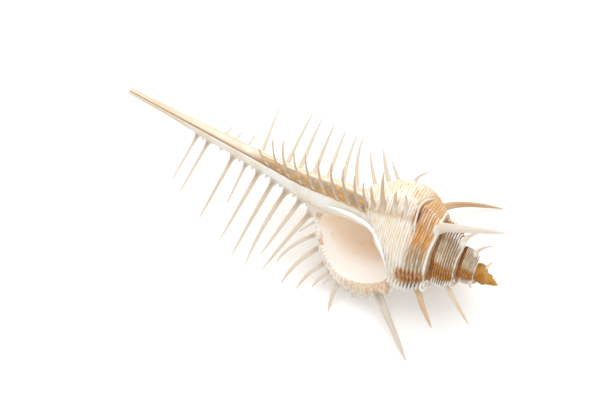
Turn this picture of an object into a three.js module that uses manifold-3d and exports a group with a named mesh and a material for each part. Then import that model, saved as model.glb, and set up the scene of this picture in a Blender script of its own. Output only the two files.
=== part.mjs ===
// A comb murex seashell, lying on the tips of two of its three rows of spines with its mouth turned up.
// Millimetres, +Z up. +X runs along the shell's axis towards the apex of the spire, and the origin is
// under the middle of the shell, on the surface that it rests on.

import * as THREE from "three";
import { mergeVertices } from "three/addons/utils/BufferGeometryUtils.js";
import Module from "manifold-3d";

const wasm = await Module();
wasm.setup();

// Driving dimensions, in millimetres and degrees. "Depth" is distance from the apex along the axis,
// "reach" is distance from the axis, and "turn" is the angle round the axis in the direction of growth,
// 0 straight up and 90 towards +Y.
const LENGTH = 120;
const AXIS_HEIGHT = 16.7;
const WHORL_COUNT = 5;
const GROWTH_PER_WHORL = 0.385;
const GROWTH_SLOWING = 0.0378;

const VARIX_SPACING = 115;
const LIP_VARIX_TURN = 240;
const LIP_TURN = 245;
const VARIX_RISE = 4.4;
const VARIX_RAMP = 15;
const VARIX_DROP = 7;

const CANAL_SET = 2.5;
const CANAL_BEND = 1.5;
const HOLLOW_TURNS = 300;
const SLIT_TURN = 328;
const SLIT_START_DEPTH = 58;
const SLIT_WIDTH = 0.7;

const CANAL_SIDES = 18;
const SPINE_SIDES = 5;

// Half-section of the last whorl at the lip, from the suture out over the shoulder and in to the canal:
// depth, reach, share of the varix's rise that the point takes, and how far the varix slants there.
const WHORL_PROFILE = [
  { depth: 26.0, reach: 9.5, rise: 0.5, slant: 3 },
  { depth: 26.6, reach: 11.7, rise: 0.95, slant: 3 },
  { depth: 28.4, reach: 13.8, rise: 1.0, slant: 3 },
  { depth: 32.2, reach: 16.2, rise: 1.0, slant: 2 },
  { depth: 36.8, reach: 17.5, rise: 1.0, slant: 1 },
  { depth: 41.6, reach: 17.2, rise: 1.0, slant: 0 },
  { depth: 47.5, reach: 14.7, rise: 0.85, slant: -1 },
  { depth: 51.8, reach: 11.2, rise: 0.55, slant: -2 },
  { depth: 55.0, reach: 7.4, rise: 0.3, slant: -3 },
  { depth: 59.4, reach: 4.4, rise: 0.2, slant: -3 },
];
const WHORL_INSIDE = [
  { depth: 58.0, reach: 2.4 },
  { depth: 43.0, reach: 1.6 },
  { depth: 29.0, reach: 1.2 },
];

// Columella and siphonal canal: one spindle from the apex to the canal's tip.
const SPINDLE = [
  { depth: 0, reach: 0.02 },
  { depth: 1.6, reach: 0.7 },
  { depth: 14, reach: 1.9 },
  { depth: 30, reach: 3.4 },
  { depth: 40, reach: 4.3 },
  { depth: 50, reach: 4.7 },
  { depth: 57, reach: 4.3 },
  { depth: 63, reach: 3.5 },
  { depth: 70, reach: 2.7 },
  { depth: 78, reach: 2.3 },
  { depth: 90, reach: 1.9 },
  { depth: 99, reach: 1.55 },
  { depth: 109, reach: 1.15 },
  { depth: LENGTH, reach: 0.9 },
];
const CANAL_RIDGE = 0.28;
const CANAL_RIDGE_WIDTH = 20;
const CANAL_BORE = 0.42;

// The hollow behind the mouth, at the lip: depth and reach of its rim, how much it flares there, and the
// depth and reach where the hollow runs out on the outside of the whorl before.
const MOUTH = [
  { depth: 28.6, reach: 13.0, flare: 0.9, endDepth: 28.2, endReach: 15.0 },
  { depth: 32.6, reach: 15.4, flare: 2.2, endDepth: 32.6, endReach: 20.0 },
  { depth: 37.2, reach: 16.4, flare: 2.7, endDepth: 37.2, endReach: 22.0 },
  { depth: 41.8, reach: 16.2, flare: 2.8, endDepth: 41.8, endReach: 22.0 },
  { depth: 46.4, reach: 14.2, flare: 2.2, endDepth: 46.4, endReach: 19.0 },
  { depth: 50.6, reach: 10.2, flare: 1.2, endDepth: 50.6, endReach: 13.0 },
  { depth: 53.4, reach: 6.4, flare: 0.3, endDepth: 53.4, endReach: 8.0 },
  { depth: 49.6, reach: 4.8, flare: 0, endDepth: 49.4, endReach: 5.8 },
  { depth: 44.2, reach: 4.2, flare: 0, endDepth: 44.0, endReach: 5.6 },
  { depth: 39.6, reach: 4.0, flare: 0, endDepth: 39.4, endReach: 6.6 },
  { depth: 35.6, reach: 5.2, flare: 0, endDepth: 35.6, endReach: 9.3 },
  { depth: 31.2, reach: 8.9, flare: 0, endDepth: 31.2, endReach: 12.0 },
];
const MOUTH_FLARE_START = 200;
const MOUTH_END_TURN = 302;

// One list for each row of spines, from the canal's end to the shoulder: depth of the root; depth and
// reach of the tip; radius at the root; how far the middle bows out, towards the canal; and how far the
// tip leans round with growth, if it does. A tip that would go below the surface under the shell stops
// on it.
const LIP_ROW = {
  turn: 240,
  shoulderSlant: -1,
  canalSlant: -4,
  spines: [
    [96.5, 97.4, 17.0, 0.55, 0], [92.8, 93.8, 19.4, 0.6, 0], [84.4, 85.3, 23.5, 0.7, 0],
    [80.2, 80.0, 15.7, 0.55, 0], [75.7, 77.1, 26.4, 0.75, 0], [70.7, 72.0, 29.2, 0.8, 0.2],
    [66.0, 67.3, 29.4, 0.8, 0.8], [61.2, 64.6, 24.2, 0.8, 0], [56.9, 62.2, 28.2, 0.85, 0.3],
    [54.6, 57.6, 13.4, 0.45, 0], [52.4, 59.5, 24.3, 0.75, 1.4], [50.0, 55.6, 29.8, 0.9, 1.2],
    [46.4, 50.9, 29.4, 0.85, 1.0], [43.9, 47.1, 27.0, 0.75, 0.5], [42.3, 44.6, 24.8, 0.5, 0.4],
    [40.8, 39.6, 31.0, 1.0, 0.6], [38.0, 37.4, 23.2, 0.6, 0], [35.6, 35.3, 24.0, 0.8, 0],
    [33.8, 33.5, 22.2, 0.8, 0], [32.0, 31.7, 22.0, 0.7, 0], [30.2, 13.2, 40.0, 1.6, 0],
  ],
};
const BACK_ROW = {
  turn: 125,
  shoulderSlant: -4,
  canalSlant: -3.5,
  spines: [
    [89.9, 90.3, 7.6, 0.4, 0], [86.2, 87.1, 7.6, 0.4, 0], [82.5, 83.5, 9.2, 0.45, 0],
    [77.9, 84.4, 26.0, 0.65, 0], [70.0, 76.0, 40.0, 0.75, 0.2], [66.0, 72.8, 40.0, 0.8, 0.2],
    [61.8, 68.8, 40.0, 0.8, 0.2], [57.8, 65.0, 40.0, 0.8, 0.2], [53.5, 61.4, 40.0, 0.8, 0.5],
    [49.2, 59.5, 40.0, 0.8, 1.0], [45.6, 55.0, 26.5, 0.75, 0.3], [42.6, 52.5, 30.0, 0.9, 0.4],
    [39.6, 48.2, 26.5, 0.75, 0.2], [36.4, 37.4, 29.8, 0.9, 2.0], [32.6, 33.4, 22.6, 0.7, 0],
    [30.0, 30.2, 21.6, 0.7, 0], [27.6, 13.8, 40.0, 1.5, 2.8],
  ],
};
const TOP_ROW = {
  turn: 10,
  shoulderSlant: 0,
  canalSlant: -12,
  spines: [
    [76.4, 77.2, 8.4, 0.4, 0], [72.4, 72.2, 21.2, 0.6, 0.1], [69.2, 68.7, 24.0, 0.7, 0.3],
    [65.2, 65.4, 20.1, 0.65, 0.2], [61.4, 61.7, 22.0, 0.7, 0.3], [57.8, 57.5, 23.2, 0.75, 0.4],
    [54.0, 53.6, 24.6, 0.8, 0.5], [50.4, 50.0, 24.6, 0.8, 0.5], [46.8, 46.6, 22.6, 0.8, 0.4],
    [43.6, 44.0, 19.8, 0.75, 0.4], [41.0, 42.4, 16.8, 0.8, 0.2, 4], [38.0, 40.6, 21.8, 1.1, 0.4, 12],
    [34.4, 34.9, 20.2, 0.9, 0.2, 2], [31.4, 32.1, 19.4, 0.8, 0.1, 2],
    [28.4, 25.2, 20.8, 1.1, 0.7, 10], [20.9, 1.5, 26.8, 1.7, 0.2],
  ],
};
// The spine on the shoulder of each older varix, counted back from the lip's.
const OLDER_SPINES = [
  { varix: 3, slant: 0, rootDepth: 19.6, tipDepth: 10.2, tipReach: 19.6, radius: 1.3, bow: 0.5 },
  { varix: 4, slant: 0, rootDepth: 16.8, tipDepth: 11.6, tipReach: 15.8, radius: 0.9, bow: 0.4 },
  { varix: 5, slant: 6, rootDepth: 14.4, tipDepth: 10.6, tipReach: 12.9, radius: 1.5, bow: 0.6 },
  { varix: 6, slant: 0, rootDepth: 12.6, tipDepth: 1.1, tipReach: 14.3, radius: 0.95, bow: 0.5 },
  { varix: 7, slant: 0, rootDepth: 10.3, tipDepth: 7.0, tipReach: 8.8, radius: 0.6, bow: 0.3 },
  { varix: 8, slant: 6, rootDepth: 10.2, tipDepth: 5.9, tipReach: 9.8, radius: 1.3, bow: 1.2 },
  { varix: 9, slant: 0, rootDepth: 7.3, tipDepth: 5.8, tipReach: 5.4, radius: 0.5, bow: 0 },
  { varix: 11, slant: 6, rootDepth: 5.4, tipDepth: 4.6, tipReach: 4.8, radius: 0.6, bow: 0 },
];
const SPINE_ROOT_SINK = 0.9;
const SPINE_TIP_RADIUS = 0.2;

const lerp = THREE.MathUtils.lerp;
const smoothstep = THREE.MathUtils.smoothstep;
const radians = THREE.MathUtils.degToRad;

// Size of the growing shell at a turn, as a share of its size at the lip's varix.
function growth(turn) {
  const whorls = (turn - LIP_VARIX_TURN) / 360;
  return Math.exp(GROWTH_PER_WHORL * whorls - GROWTH_SLOWING * whorls * whorls);
}

// How far round the nearest varix stands up at a turn, from 0 to 1. It ramps up and drops off steeply.
function varixSwell(turn) {
  const offset = turn - LIP_VARIX_TURN;
  const past = offset - VARIX_SPACING * Math.round(offset / VARIX_SPACING);
  const width = past < 0 ? VARIX_RAMP : VARIX_DROP;
  const crest = Math.exp(-((past / width) ** 2));
  const swelling = 0.5 + 0.5 * Math.cos((2 * Math.PI * offset) / VARIX_SPACING);
  return 0.8 * crest + 0.2 * swelling;
}

// The canal is set to one side of the spire's axis and bends further away towards its tip.
function canalShift(depth) {
  const bend = Math.max(0, depth - 68) / (LENGTH - 68);
  return -CANAL_SET * smoothstep(depth, 42, 68) - CANAL_BEND * bend;
}

// A point of the shell from its depth, reach and turn. Points on the canal follow its curve.
function place(depth, reach, turn) {
  const angle = radians(turn);
  return new THREE.Vector3(
    LENGTH / 2 - depth,
    canalShift(depth) + reach * Math.sin(angle),
    AXIS_HEIGHT + reach * Math.cos(angle),
  );
}

// Value of a list of stations at a depth, by straight lines between them.
function atDepth(stations, depth) {
  const last = stations.length - 1;
  const after = Math.min(last, Math.max(1, stations.findIndex((s) => s.depth >= depth)));
  const [a, b] = depth > stations[last].depth
    ? [stations[last - 1], stations[last]]
    : [stations[after - 1], stations[after]];
  const share = THREE.MathUtils.clamp((depth - a.depth) / (b.depth - a.depth), 0, 1);
  return lerp(a.reach, b.reach, share);
}

// A solid from rings of points, all with the same count, closed by a fan at each end.
function loft(rings) {
  const count = rings[0].length;
  const middles = [rings[0], rings[rings.length - 1]].map((ring) =>
    ring.reduce((sum, p) => sum.add(p), new THREE.Vector3()).divideScalar(count));
  const points = [...rings.flat(), ...middles];
  const index = [];
  for (let i = 0; i + 1 < rings.length; i++) {
    for (let j = 0; j < count; j++) {
      const next = (j + 1) % count;
      const [a, b] = [i * count + j, i * count + next];
      index.push(a, b, b + count, a, b + count, a + count);
    }
  }
  const lastRing = (rings.length - 1) * count;
  const firstMiddle = rings.length * count;
  for (let j = 0; j < count; j++) {
    const next = (j + 1) % count;
    index.push(firstMiddle, next, j);
    index.push(firstMiddle + 1, lastRing + j, lastRing + next);
  }
  const geometry = new THREE.BufferGeometry().setFromPoints(points).setIndex(index);
  return solidFrom(geometry);
}

// A manifold solid from a closed geometry, turned outside out where its rings ran the other way.
function solidFrom(geometry) {
  const merged = mergeVertices(geometry, 1e-4);
  const triVerts = new Uint32Array(merged.index.array);
  const vertProperties = new Float32Array(merged.attributes.position.array);
  const solid = new wasm.Manifold(new wasm.Mesh({ numProp: 3, vertProperties, triVerts }));
  if (solid.volume() > 0) {
    return solid;
  }
  const turned = triVerts.map((_, i) => triVerts[i - (i % 3) + [0, 2, 1][i % 3]]);
  return new wasm.Manifold(new wasm.Mesh({ numProp: 3, vertProperties, triVerts: turned }));
}

// One section of a whorl at a turn: the outside from the suture to the canal, then back near the axis.
function whorlSection(turn) {
  const size = growth(turn);
  const outside = WHORL_PROFILE.map(({ depth, reach, rise, slant }) => {
    const lifted = reach + VARIX_RISE * rise * varixSwell(turn - slant);
    return place(depth * size, lifted * size, turn);
  });
  const inside = WHORL_INSIDE.map(({ depth, reach }) => place(depth * size, reach * size, turn));
  return [...outside, ...inside];
}

// Turns at which whorls are sectioned: close together at each varix and wide apart between.
function sectionTurns(from, to) {
  const offsets = [-58, -32, -16, -7, 0, 5, 11, 28];
  const turns = [];
  const firstVarix = Math.floor((from - LIP_VARIX_TURN) / VARIX_SPACING) - 1;
  for (let varix = firstVarix; varix <= 1; varix++) {
    turns.push(...offsets.map((offset) => LIP_VARIX_TURN + varix * VARIX_SPACING + offset));
  }
  return [from, ...turns.filter((turn) => turn > from + 2 && turn < to - 2), to];
}

// All the whorls, in pieces of under a whole turn that overlap a little where they meet.
function whorls() {
  const pieceTurns = 240;
  const lap = 8;
  const pieces = [];
  for (let end = LIP_TURN; end > LIP_TURN - 360 * WHORL_COUNT; end -= pieceTurns) {
    pieces.push(loft(sectionTurns(end - pieceTurns - lap, end).map(whorlSection)));
  }
  return pieces;
}

// How far a ridge stands up round the canal, where the three rows of spines run along it.
function canalRidge(turn, depth) {
  const offset = turn - LIP_VARIX_TURN;
  const past = offset - VARIX_SPACING * Math.round(offset / VARIX_SPACING);
  const share = smoothstep(depth, 36, 56) * (1 - smoothstep(depth, 92, 116));
  return CANAL_RIDGE * share * Math.exp(-((past / CANAL_RIDGE_WIDTH) ** 2));
}

// The columella and the canal, ridged under the rows of spines.
function spindle() {
  return loft(SPINDLE.map(({ depth, reach }) => {
    const step = 360 / CANAL_SIDES;
    return Array.from({ length: CANAL_SIDES }, (_, side) => {
      const turn = side * step;
      return place(depth, reach * (1 + canalRidge(turn, depth)), turn);
    });
  }));
}

// The hollow of the last whorl, to be cut out. It narrows inwards with growth and flares at the lip, past
// which its inner side runs out over the whorl before.
function hollow() {
  const start = LIP_TURN - HOLLOW_TURNS;
  const turns = [];
  for (let turn = start; turn < LIP_TURN; turn += 20) {
    turns.push(turn);
  }
  turns.push(LIP_TURN, LIP_TURN + 13, LIP_TURN + 28, LIP_TURN + 43, MOUTH_END_TURN);
  return loft(turns.map((turn) => {
    const size = growth(Math.min(turn, LIP_TURN));
    const flaring = smoothstep(turn, MOUTH_FLARE_START, LIP_TURN);
    const opening = smoothstep(turn, start - 20, start + 60);
    const ending = smoothstep(turn, LIP_TURN, MOUTH_END_TURN);
    return MOUTH.map(({ depth, reach, flare, endDepth, endReach }) => place(
      lerp(lerp(41, depth, opening), endDepth, ending) * size,
      lerp(lerp(9.5, reach, opening) + flare * flaring, endReach, ending) * size,
      turn,
    ));
  }));
}

// The canal's bore and the slit that opens it along its length, to be cut out.
function canalBore() {
  const depths = [SLIT_START_DEPTH - 6, SLIT_START_DEPTH, 66, 74, 84, 96, 108, LENGTH + 1];
  const sides = 6;
  const bore = loft(depths.map((depth) => Array.from({ length: sides }, (_, side) => {
    const reach = CANAL_BORE * atDepth(SPINDLE, depth);
    return place(depth, reach, SLIT_TURN + (side * 360) / sides);
  })));
  const slit = loft(depths.slice(1).map((depth) => {
    const far = atDepth(SPINDLE, depth) + 2;
    const half = SLIT_WIDTH / 2;
    const across = new THREE.Vector3(0, Math.cos(radians(SLIT_TURN)), -Math.sin(radians(SLIT_TURN)));
    return [[0, -half], [far, -half], [far, half], [0, half]].map(([reach, side]) =>
      place(depth, reach, SLIT_TURN).addScaledVector(across, side));
  }));
  return bore.add(slit);
}

// A tapering spine from root to tip, wide where it grows out of the varix, bowed towards the canal.
function spine(root, tip, radius, bow) {
  const length = root.distanceTo(tip);
  const control = root.clone().lerp(tip, 0.5).add(new THREE.Vector3(-2 * bow, 0, 0));
  const path = new THREE.QuadraticBezierCurve3(root, control, tip);
  const stations = length > 7
    ? [[0, 1.35], [0.16, 0.82], [0.55, 0.5], [1, 0]]
    : [[0, 1.35], [0.3, 0.8], [1, 0]];
  const axis = new THREE.Vector3(1, 0, 0);
  return loft(stations.map(([share, width]) => {
    const centre = path.getPoint(share);
    const heading = path.getTangent(share);
    const side = new THREE.Vector3().crossVectors(heading, axis).normalize();
    const front = new THREE.Vector3().crossVectors(side, heading);
    const sectionRadius = Math.max(SPINE_TIP_RADIUS, radius * width);
    return Array.from({ length: SPINE_SIDES }, (_, i) => {
      const angle = (i * 2 * Math.PI) / SPINE_SIDES;
      return centre.clone()
        .addScaledVector(side, sectionRadius * Math.cos(angle))
        .addScaledVector(front, sectionRadius * Math.sin(angle));
    });
  }));
}

// Reach of a varix's crest, or of the canal's ridge where that stands higher.
function crestReach(depth, turn) {
  const size = growth(turn);
  const crest = WHORL_PROFILE.map(({ depth: d, reach, rise }) => (
    { depth: d * size, reach: (reach + VARIX_RISE * rise) * size }));
  const body = depth < crest[crest.length - 1].depth ? atDepth(crest, depth) : 0;
  return Math.max(body, atDepth(SPINDLE, depth) * (1 + CANAL_RIDGE));
}

// A row of spines on the varix at a turn, which slants round from the shoulder to the canal.
function spineRow({ turn, shoulderSlant, canalSlant, spines }) {
  return spines.map(([rootDepth, tipDepth, tipReach, radius, bow, lean = 0]) => {
    const towardsCanal = smoothstep(rootDepth / growth(turn), 30, 56);
    const rowTurn = turn + lerp(shoulderSlant, canalSlant, towardsCanal);
    const down = -Math.cos(radians(rowTurn));
    const mostReach = down > 0 ? (AXIS_HEIGHT - SPINE_TIP_RADIUS) / down : tipReach;
    const root = place(rootDepth, crestReach(rootDepth, turn) - SPINE_ROOT_SINK, rowTurn);
    const tip = place(tipDepth, Math.min(tipReach, mostReach), rowTurn + lean);
    return spine(root, tip, radius, bow);
  });
}

// The shoulder spines of the older varices, on the spire.
function olderSpines() {
  return OLDER_SPINES.map(({ varix, slant, rootDepth, tipDepth, tipReach, radius, bow }) => {
    const turn = LIP_VARIX_TURN - varix * VARIX_SPACING;
    const root = place(rootDepth, crestReach(rootDepth, turn) - SPINE_ROOT_SINK, turn + slant);
    const tip = place(tipDepth, tipReach, turn + slant);
    return spine(root, tip, radius, bow);
  });
}

// The whole shell grew as one piece, so everything is joined before the hollow and the canal are cut.
function shell() {
  const grown = [
    ...whorls(),
    spindle(),
    ...[LIP_ROW, BACK_ROW, TOP_ROW].flatMap(spineRow),
    ...olderSpines(),
  ].reduce((sum, piece) => sum.add(piece));
  const opened = grown.subtract(hollow()).subtract(canalBore());
  const { vertProperties, triVerts } = opened.getMesh();
  const geometry = new THREE.BufferGeometry()
    .setAttribute("position", new THREE.BufferAttribute(vertProperties, 3))
    .setIndex(new THREE.BufferAttribute(triVerts, 1));
  geometry.computeBoundingBox();
  const { min, max } = geometry.boundingBox;
  geometry.translate(-(min.x + max.x) / 2, -(min.y + max.y) / 2, -min.z);
  return new THREE.Mesh(geometry, new THREE.MeshStandardMaterial({
    color: 0xefe3d0,
    roughness: 0.55,
    metalness: 0,
  }));
}

const murex = new THREE.Group();
const shellMesh = shell();
shellMesh.name = "shell";
murex.add(shellMesh);

export default murex;
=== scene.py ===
"""A comb murex seashell on a pale floor, lying on the tips of two of its three rows of spines.

The shell's own sizes are in millimetres and degrees, and place() turns them into the frame's metres. Depth
is distance from the apex along the axis, reach is distance from the axis, and turn is the angle round the
axis in the direction of growth, 0 straight up and 90 towards +Y.
"""

import math

import bpy
import numpy as np
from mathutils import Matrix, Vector


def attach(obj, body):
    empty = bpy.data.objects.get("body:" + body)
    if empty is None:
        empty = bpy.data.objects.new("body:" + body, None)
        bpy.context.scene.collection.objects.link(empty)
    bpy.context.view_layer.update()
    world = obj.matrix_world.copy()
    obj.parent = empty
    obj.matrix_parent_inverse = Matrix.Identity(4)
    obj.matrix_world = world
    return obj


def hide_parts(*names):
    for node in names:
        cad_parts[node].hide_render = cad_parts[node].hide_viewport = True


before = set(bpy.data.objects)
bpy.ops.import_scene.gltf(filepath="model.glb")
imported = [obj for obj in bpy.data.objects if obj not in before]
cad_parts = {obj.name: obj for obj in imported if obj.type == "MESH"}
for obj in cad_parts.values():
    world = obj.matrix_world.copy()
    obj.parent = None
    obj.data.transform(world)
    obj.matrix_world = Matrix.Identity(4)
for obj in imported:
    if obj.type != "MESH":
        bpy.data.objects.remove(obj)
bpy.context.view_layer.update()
bpy.ops.object.select_all(action="DESELECT")


# Whorls: five turns of aragonite tube, each laid on the one before, with a thick ridge called a varix
# three times in each turn where the animal rested. They grow from the apex out to the lip, and fine
# cords run round them.

MM = 0.001
LENGTH = 120
AXIS_HEIGHT = 16.68
GROWTH_PER_WHORL = 0.385
GROWTH_SLOWING = 0.0378

VARIX_SPACING = 115
LIP_VARIX_TURN = 240
LIP_TURN = 245
VARIX_RISE = 4.4
VARIX_RAMP = 15
VARIX_DROP = 7
CANAL_SET = 2.5
CANAL_SET_START = 42
CANAL_BEND = 1.5
CANAL_BEND_START = 68

# Half-section of the last whorl at the lip, from the suture over the shoulder to the canal: depth, reach,
# share of the varix's rise that it takes, and how far the varix slants there. Shares across a whorl run
# along it, from 0 at the suture to 1 at the canal.
WHORL_PROFILE = [
    (26.0, 9.5, 0.5, 3), (26.6, 11.7, 0.95, 3), (28.4, 13.8, 1.0, 3), (32.2, 16.2, 1.0, 2),
    (36.8, 17.5, 1.0, 1), (41.6, 17.2, 1.0, 0), (47.5, 14.7, 0.85, -1), (51.8, 11.2, 0.55, -2),
    (55.0, 7.4, 0.3, -3), (59.4, 4.4, 0.2, -3),
]
WHORL_INSIDE = [(58.0, 2.4), (43.0, 1.6), (29.0, 1.2)]

CORD_COUNT = 36
OLDER_CORD_SHARE = 0.7
ROWS_PER_CORD = 5
CORD_HEIGHT = 0.4
OLDER_CORD_RISE = 1.6
THIN_CORD_SHARE = 0.5
CORD_SINK = 0.8
BEAD_HEIGHT = 0.22
BEADS_PER_TURN = 71
BEAD_SHIFT = 2.1
FLUTE_HEIGHT = 0.3
OLDER_FLUTE_HEIGHT = 1.5
AXIAL_RIB_HEIGHT = 0.12
OLDER_AXIAL_RIB_RISE = 3
AXIAL_RIBS_PER_VARIX = 3
AXIAL_RIB_MIDDLE = 0.3
AXIAL_RIB_SPREAD = 0.25
SUTURE_BAND = 0.085
SUTURE_BAND_DEPTH = 0.35
SUTURE_BAND_HALF = 0.022
SUTURE_EDGE_HEIGHT = 0.2
SUTURE_EDGE_WIDTH = 0.01
SHOULDER_RIDGE_HEIGHT = 1.3
SHOULDER_RIDGE_WIDTH = 0.024
APEX_PINCH = 0.3
LIP_ROUNDING = 1.0
LIP_SMOOTHNESS = 0.85

# Turns between which the shell changes, from apex to lip: out of the pinched apex, out of the stains that
# reach furthest, out of the older whorls with their wide cords, and out of the stained whorls. The last
# whorl's cords die out between the last two, at its lip.
PAST_APEX = (-1050, -650)
PAST_OLDEST = (-300, -200)
PAST_WIDE_CORDS = (-75, -40)
PAST_STAINS = (-30, -10)
AT_LIP = (222, 236)

# Ribs that climb to the roots of the spines: their lengths and where they end, in degrees of turn. Those of
# the top row change from the body's kind to the canal's between two depths.
BUTTRESS_HEIGHT = 0.85
BUTTRESS_WIDTH = 0.5
BUTTRESS_EASE = 6
BUTTRESS_LEAN = 0.12
BODY_BUTTRESS = 15
BODY_BUTTRESS_END = (0, 5)
CANAL_BUTTRESS = 42
CANAL_BUTTRESS_END = (-22, -10)
BUTTRESS_CHANGE = (40, 46)

# Depths between which a row's edge goes over from its slant on the shoulder to that on the canal.
ROW_SLANT_CHANGE = (30, 56)

# Depth of the root; depth and reach of the tip; radius at the root; how far the middle bows out, towards
# the canal; and how far the tip leans round with growth, if it does. A look is how tan, grey and yellow the
# spines are.
LIP_ROW = {
    "turn": 240, "shoulder_slant": -1, "canal_slant": -4, "girth": 1.12, "look": (0.3, 0.12, 0.0),
    "shoulder_look": (0.1, 0.35, 0.0),
    "spines": [
        (96.5, 97.4, 17.0, 0.55, 0), (92.8, 93.8, 19.4, 0.6, 0), (84.4, 85.3, 23.5, 0.7, 0),
        (80.2, 80.0, 15.7, 0.55, 0), (75.7, 77.1, 26.4, 0.75, 0), (70.7, 72.0, 29.2, 0.8, 0.2),
        (66.0, 67.3, 29.4, 0.8, 0.8), (61.2, 64.6, 24.2, 0.8, 0), (56.9, 62.2, 28.2, 0.85, 0.3),
        (54.6, 57.6, 13.4, 0.45, 0), (52.4, 59.5, 24.3, 0.75, 1.4), (50.0, 55.6, 29.8, 0.9, 1.2),
        (46.4, 50.9, 29.4, 0.85, 1.0), (43.9, 47.1, 27.0, 0.75, 0.5), (42.3, 44.6, 24.8, 0.5, 0.4),
        (40.8, 39.6, 31.0, 1.0, 0.6), (38.0, 37.4, 23.4, 1.0, 0), (35.6, 35.3, 24.2, 1.2, 0),
        (33.8, 33.5, 22.4, 1.1, 0), (32.0, 31.7, 22.2, 1.1, 0), (30.2, 13.2, 40.0, 1.6, 0),
    ],
}
BACK_ROW = {
    "turn": 125, "shoulder_slant": -4, "canal_slant": -3.5, "girth": 1.0, "look": (0.0, 0.5, 0.35),
    "shoulder_look": (0.8, 0.4, 0.1),
    "spines": [
        (89.9, 90.3, 7.6, 0.4, 0), (86.2, 87.1, 7.6, 0.4, 0), (82.5, 83.5, 9.2, 0.45, 0),
        (77.9, 84.4, 26.0, 0.65, 0), (70.0, 76.0, 40.0, 0.75, 0.2), (66.0, 72.8, 40.0, 0.8, 0.2),
        (61.8, 68.8, 40.0, 0.8, 0.2), (57.8, 65.0, 40.0, 0.8, 0.2), (53.5, 61.4, 40.0, 0.8, 0.5),
        (49.2, 59.5, 40.0, 0.8, 1.0), (45.6, 55.0, 26.5, 0.75, 0.3), (42.6, 52.5, 30.0, 0.9, 0.4),
        (39.6, 48.2, 26.5, 0.75, 0.2), (36.4, 37.4, 29.8, 0.9, 2.0), (32.6, 33.4, 22.6, 0.7, 0),
        (30.0, 30.2, 21.6, 0.7, 0), (27.6, 13.8, 40.0, 1.5, 2.8),
    ],
}
# The grey in this row's looks is partly the spines' own grey and partly painted shade, for spines turned
# away from the light.
TOP_ROW = {
    "turn": 10, "shoulder_slant": 0, "canal_slant": -12, "girth": 0.85, "look": (0.5, 0.3, 0.0),
    "shoulder_look": (0.1, 0.2, 0.0),
    "spines": [
        (76.4, 77.2, 8.4, 0.4, 0), (72.4, 72.2, 21.2, 0.6, 0.1), (69.2, 68.7, 24.0, 0.7, 0.3),
        (65.2, 65.4, 20.1, 0.65, 0.2), (61.4, 61.7, 22.0, 0.7, 0.3), (57.8, 57.5, 23.2, 0.75, 0.4),
        (54.0, 53.6, 24.6, 0.8, 0.5), (50.4, 50.0, 24.6, 0.8, 0.5), (46.8, 46.6, 22.6, 0.8, 0.4),
        (43.6, 44.0, 19.8, 0.75, 0.4), (41.0, 42.4, 16.8, 0.8, 0.2, 4), (38.0, 40.6, 21.8, 1.1, 0.4, 12),
        (34.4, 34.9, 20.2, 0.9, 0.2, 2), (31.4, 32.1, 19.4, 0.8, 0.1, 2),
        (28.4, 25.2, 20.8, 1.1, 0.7, 10), (20.9, 1.5, 26.8, 1.7, 0.2),
    ],
}


def smoothstep(value, low, high):
    share = np.clip((value - low) / (high - low), 0, 1)
    return share * share * (3 - 2 * share)


def fade(value, low, high):
    """1 below low and 0 above high."""
    return 1 - smoothstep(value, low, high)


def mix(a, b, share):
    return a + (b - a) * share


def once_round(count, whole=2 * np.pi):
    """Even steps from 0 up to the last one before the whole."""
    return np.linspace(0, whole, count, endpoint=False)


def bell(place, middle, width):
    """1 at the middle of a smooth bump, falling to 0 on both sides."""
    return np.exp(-(((place - middle) / width) ** 2))


def growth(turn):
    """Size of the growing shell at a turn, as a share of its size at the lip's varix."""
    whorls = (turn - LIP_VARIX_TURN) / 360
    return np.exp(GROWTH_PER_WHORL * whorls - GROWTH_SLOWING * whorls * whorls)


def past_varix(turn):
    """Degrees of growth past the nearest varix."""
    offset = turn - LIP_VARIX_TURN
    return offset - VARIX_SPACING * np.round(offset / VARIX_SPACING)


def varix_crest(turn):
    """1 on the edge of a varix. It ramps up with growth and drops off steeply."""
    past = past_varix(turn)
    return bell(past, 0, np.where(past < 0, VARIX_RAMP, VARIX_DROP))


def varix_swell(turn):
    swelling = 0.5 + 0.5 * np.cos(2 * np.pi * (turn - LIP_VARIX_TURN) / VARIX_SPACING)
    return 0.8 * varix_crest(turn) + 0.2 * swelling


def canal_shift(depth):
    """The canal is set to one side of the spire's axis and bends further away towards its tip."""
    bend = np.maximum(0, depth - CANAL_BEND_START) / (LENGTH - CANAL_BEND_START)
    return -CANAL_SET * smoothstep(depth, CANAL_SET_START, CANAL_BEND_START) - CANAL_BEND * bend


def place(depth, reach, turn):
    """Points in the frame, in metres."""
    depth, reach, turn = np.broadcast_arrays(depth, reach, turn)
    angle = np.radians(turn)
    x = LENGTH / 2 - depth
    y = canal_shift(depth) + reach * np.sin(angle)
    z = AXIS_HEIGHT + reach * np.cos(angle)
    return np.stack([x, y, z], axis=-1) * MM


SPAN_STEPS = 24


def smooth_line(points, count, closed=False):
    """Points at even steps along a smooth line through the given ones.

    The steps are measured in the first two columns.
    """
    points = np.array(points, float)
    if closed:
        padded = np.vstack([points[-1:], points, points[:2]])
    else:
        padded = np.vstack([2 * points[0] - points[1], points, 2 * points[-1] - points[-2]])
    t = np.linspace(0, 1, SPAN_STEPS, endpoint=False)[:, None]
    spans = [
        b + 0.5 * t * (c - a + t * (2 * a - 5 * b + 4 * c - d + t * (3 * b - a - 3 * c + d)))
        for a, b, c, d in zip(padded, padded[1:], padded[2:], padded[3:])
    ]
    line = np.vstack(spans + [padded[-2:-1]])
    steps = np.linalg.norm(np.diff(line[:, :2], axis=0), axis=1)
    along = np.concatenate([[0], np.cumsum(steps)])
    even = np.linspace(0, along[-1], count, endpoint=not closed)
    return np.stack([np.interp(even, along, column) for column in line.T], axis=1)


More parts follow.
